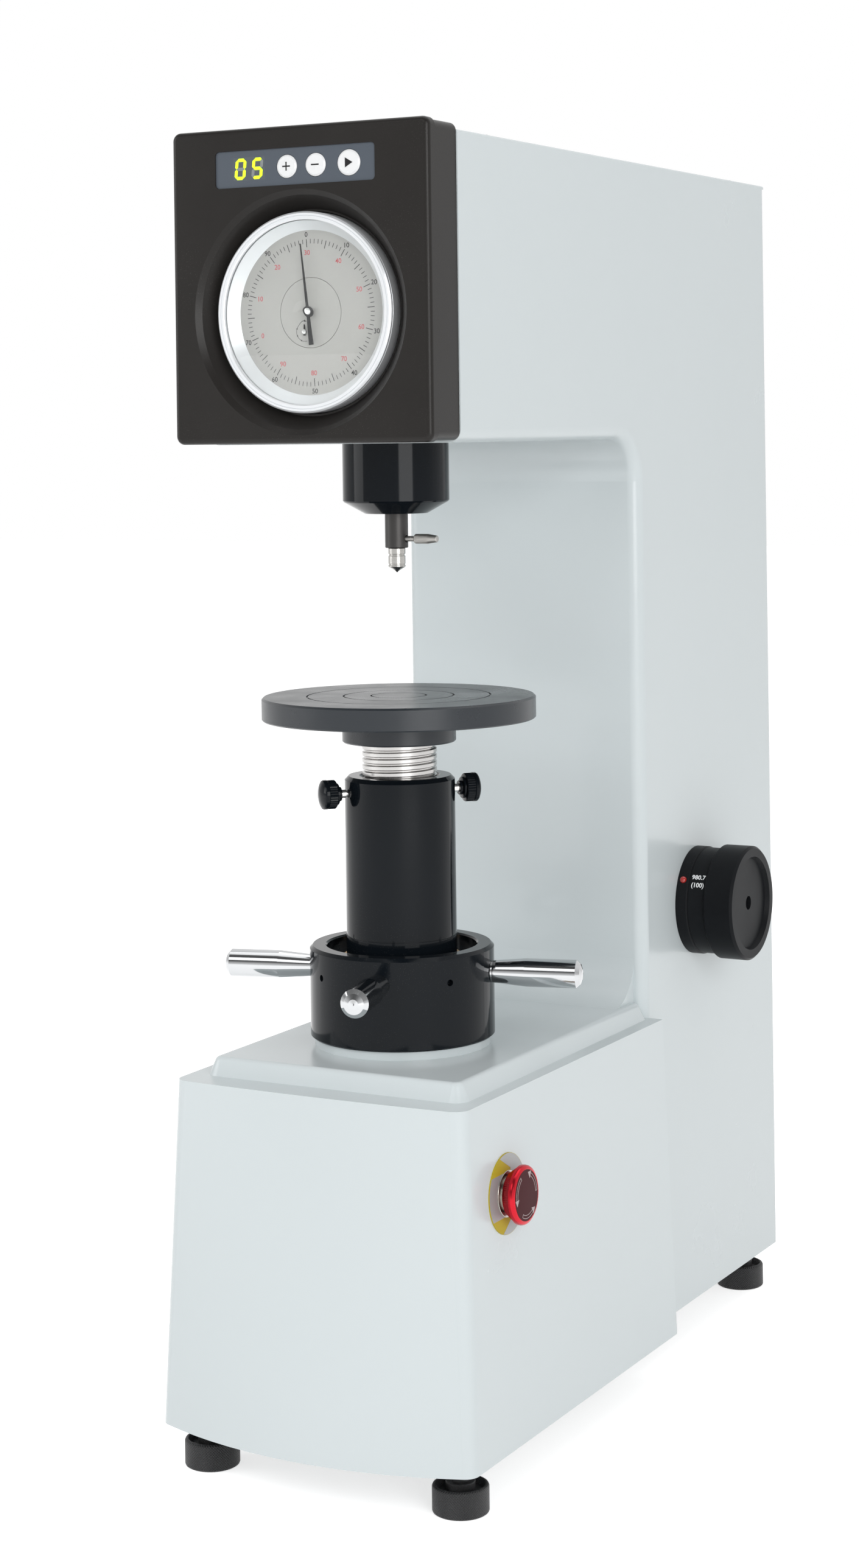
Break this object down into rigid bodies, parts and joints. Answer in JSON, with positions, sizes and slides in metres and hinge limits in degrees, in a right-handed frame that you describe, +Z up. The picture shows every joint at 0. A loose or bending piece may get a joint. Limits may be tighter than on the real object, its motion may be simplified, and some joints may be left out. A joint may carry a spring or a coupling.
{
  "type": "bench hardness tester",
  "caption": "Motor-driven bench hardness tester: C-shaped cast body, dial head with a spindle, round table on an elevating screw with a handwheel, load selector knob and levelling feet.",
  "frame": {"origin": "bottom centre of the bounding box, on the surface that the feet stand on", "axes": "+Z up, -Y towards the operator (dial side), +X towards the selector knob and the emergency stop"},
  "size_m": [0.2374, 0.5357, 0.7967],
  "materials": {
    "body_paint": "gloss sprayed enamel over filled casting",
    "black_cover": "satin moulded plastic",
    "panel_slate": "matt membrane panel",
    "led_window": "dark window with lit digits",
    "board_green": "coated circuit board",
    "button_white": "smooth moulded cap",
    "bezel_silver": "satin turned ring",
    "glass_clear": "polished",
    "dial_print": "satin printed",
    "hand_black": "satin",
    "black_gloss": "polished black enamel",
    "black_oxide": "satin blackened steel",
    "dark_steel": "dark turned steel",
    "bright_steel": "ground steel",
    "spoke_chrome": "polished chrome",
    "bronze": "turned",
    "knob_black": "matt black",
    "grey_iron": "machined grey iron",
    "dial_housing": "plain turned",
    "estop_red": "red anodised",
    "estop_yellow": "matt yellow",
    "estop_collar": "satin turned",
    "inlet_black": "moulded",
    "motor_grey": "painted",
    "foot_black": "blackened, knurled"
  },
  "bodies": {
    "frame": {"main_casting": "body_paint", "top_cover": "body_paint", "rear_cover": "body_paint", "cover_screws": "bright_steel", "head_cover": "black_cover", "control_panel": "panel_slate", "led_display": "led_window", "control_board": "board_green", "dial_case": "dial_housing", "dial_bracket": "grey_iron", "dial_centre": "dial_print", "spindle_housing": "black_gloss", "spindle_bushes": "bronze", "lever_bracket": "grey_iron", "lever_pivot_pin": "bright_steel", "screw_guide": "grey_iron", "screw_key": "bright_steel", "thrust_bearing": "bright_steel", "selector_flange": "knob_black", "selector_bearing": "grey_iron", "estop_plate": "estop_yellow", "estop_barrel": "estop_collar", "gear_motor": "motor_grey", "power_inlet": "inlet_black"},
    "handwheel": {"handwheel_hub": "black_gloss", "handwheel_spokes": "spoke_chrome", "elevating_nut": "bronze", "thrust_race": "bright_steel"},
    "screw_column": {"elevating_screw": "bright_steel", "work_table": "black_oxide"},
    "sleeve": {"screw_sleeve": "black_gloss"},
    "thumb_screw_left": {"thumb_screw_left": "black_gloss"},
    "thumb_screw_right": {"thumb_screw_right": "black_gloss"},
    "spindle": {"spindle": "dark_steel", "indenter": "bright_steel"},
    "clamp_screw": {"indenter_clamp_screw": "dark_steel"},
    "lever": {"load_lever": "grey_iron"},
    "weights": {"weight_hanger": "grey_iron", "load_weights": "grey_iron", "lift_rod": "dark_steel"},
    "selector": {"selector_knob": "knob_black", "number_ring": "knob_black", "selector_shaft": "dark_steel"},
    "cam": {"load_cam": "dark_steel"},
    "estop_plunger": {"estop_stem": "bright_steel"},
    "estop_mushroom": {"estop_head": "estop_red"},
    "plus_key": {"plus_button": "button_white"},
    "minus_key": {"minus_button": "button_white"},
    "start_key": {"start_button": "button_white"},
    "bezel": {"dial_bezel": "bezel_silver", "dial_glass": "glass_clear", "dial_face": "dial_print"},
    "main_hand": {"main_pointer": "hand_black"},
    "small_hand": {"small_pointer": "hand_black", "counter_wheel": "bronze"},
    "rocker": {"power_rocker": "inlet_black"},
    "foot_front_left": {"foot_front_left": "foot_black"},
    "foot_front_right": {"foot_front_right": "foot_black"},
    "foot_rear_left": {"foot_rear_left": "foot_black"},
    "foot_rear_right": {"foot_rear_right": "foot_black"}
  },
  "joints": [
    {"name": "handwheel_spin", "type": "hinge", "parent": "frame", "child": "handwheel", "pos_m": [-0.00873, -0.13325, 0.288], "axis": [0, 0, -1], "range_deg": [-1440, 6750]},
    {"name": "screw_rise", "type": "slide", "parent": "frame", "child": "screw_column", "axis": [0, 0, 1], "range_m": [-0.0161, 0.0751]},
    {"name": "sleeve_lift", "type": "slide", "parent": "frame", "child": "sleeve", "axis": [0, 0, 1], "range_m": [0, 0.016]},
    {"name": "thumb_screw_right_turn", "type": "hinge", "parent": "sleeve", "child": "thumb_screw_right", "pos_m": [-0.00873, -0.13325, 0.397], "axis": [0.682, 0.7314, 0], "range_deg": [0, 720]},
    {"name": "thumb_screw_left_turn", "type": "hinge", "parent": "sleeve", "child": "thumb_screw_left", "pos_m": [-0.00873, -0.13325, 0.397], "axis": [-0.682, -0.7314, 0], "range_deg": [0, 720]},
    {"name": "lever_tilt", "type": "hinge", "parent": "frame", "child": "lever", "pos_m": [-0.00873, -0.14725, 0.706], "axis": [1, 0, 0], "range_deg": [0, 4.1]},
    {"name": "spindle_slide", "type": "slide", "parent": "frame", "child": "spindle", "axis": [0, 0, 1], "range_m": [0, 0.00101]},
    {"name": "clamp_screw_turn", "type": "hinge", "parent": "spindle", "child": "clamp_screw", "pos_m": [-0.00873, -0.13325, 0.552], "axis": [1, 0, 0], "range_deg": [0, 720]},
    {"name": "weights_lift", "type": "slide", "parent": "frame", "child": "weights", "axis": [0, 0, 1], "range_m": [0, 0.02255]},
    {"name": "selector_turn", "type": "hinge", "parent": "frame", "child": "selector", "pos_m": [0.07767, 0.12385, 0.2972], "axis": [1, 0, 0], "range_deg": [-120, 120]},
    {"name": "cam_spin", "type": "hinge", "parent": "frame", "child": "cam", "pos_m": [-0.00873, 0.16675, 0.096], "axis": [1, 0, 0], "continuous": true},
    {"name": "estop_push", "type": "slide", "parent": "frame", "child": "estop_plunger", "axis": [0.9993, 0, 0.0363], "range_m": [-0.0019, 0]},
    {"name": "estop_twist", "type": "hinge", "parent": "estop_plunger", "child": "estop_mushroom", "pos_m": [0.09094, -0.19135, 0.1754], "axis": [0.9993, 0, 0.0363], "range_deg": [-45, 0], "stiffness_Nm_per_rad": 0.02},
    {"name": "plus_press", "type": "slide", "parent": "frame", "child": "plus_key", "axis": [0, 1, 0], "range_m": [0, 0.0008], "stiffness_N_per_m": 400, "springref_m": -0.001},
    {"name": "minus_press", "type": "slide", "parent": "frame", "child": "minus_key", "axis": [0, 1, 0], "range_m": [0, 0.0008], "stiffness_N_per_m": 400, "springref_m": -0.001},
    {"name": "start_press", "type": "slide", "parent": "frame", "child": "start_key", "axis": [0, 1, 0], "range_m": [0, 0.0008], "stiffness_N_per_m": 400, "springref_m": -0.001},
    {"name": "bezel_turn", "type": "hinge", "parent": "frame", "child": "bezel", "pos_m": [-0.00873, -0.24205, 0.6879], "axis": [0, 1, 0], "range_deg": [-45, 45]},
    {"name": "main_hand_turn", "type": "hinge", "parent": "frame", "child": "main_hand", "pos_m": [-0.00873, -0.24205, 0.6879], "axis": [0, 1, 0], "range_deg": [0, 1802.53]},
    {"name": "small_hand_turn", "type": "hinge", "parent": "frame", "child": "small_hand", "pos_m": [-0.01273, -0.24205, 0.6769], "axis": [0, 1, 0], "range_deg": [0, 181.15]},
    {"name": "rocker_tilt", "type": "hinge", "parent": "frame", "child": "rocker", "pos_m": [-0.02423, 0.25965, 0.078], "axis": [1, 0, 0], "range_deg": [-7, 7]},
    {"name": "foot_front_left_level", "type": "hinge", "parent": "frame", "child": "foot_front_left", "pos_m": [-0.09293, -0.22375, 0], "axis": [0, 0, 1], "range_deg": [-720, 720]},
    {"name": "foot_front_right_level", "type": "hinge", "parent": "frame", "child": "foot_front_right", "pos_m": [0.07547, -0.22375, 0], "axis": [0, 0, 1], "range_deg": [-720, 720]},
    {"name": "foot_rear_left_level", "type": "hinge", "parent": "frame", "child": "foot_rear_left", "pos_m": [-0.07373, 0.24465, 0], "axis": [0, 0, 1], "range_deg": [-720, 720]},
    {"name": "foot_rear_right_level", "type": "hinge", "parent": "frame", "child": "foot_rear_right", "pos_m": [0.05627, 0.24465, 0], "axis": [0, 0, 1], "range_deg": [-720, 720]}
  ],
  "couplings": [
    {"joint": "screw_rise", "follows": "handwheel_spin", "m_per_rad": 0.00063662},
    {"joint": "spindle_slide", "follows": "lever_tilt", "m_per_rad": 0.014},
    {"joint": "weights_lift", "follows": "lever_tilt", "m_per_rad": 0.314},
    {"joint": "main_hand_turn", "follows": "lever_tilt", "ratio": 439.82},
    {"joint": "small_hand_turn", "follows": "lever_tilt", "ratio": 43.982}
  ]
}
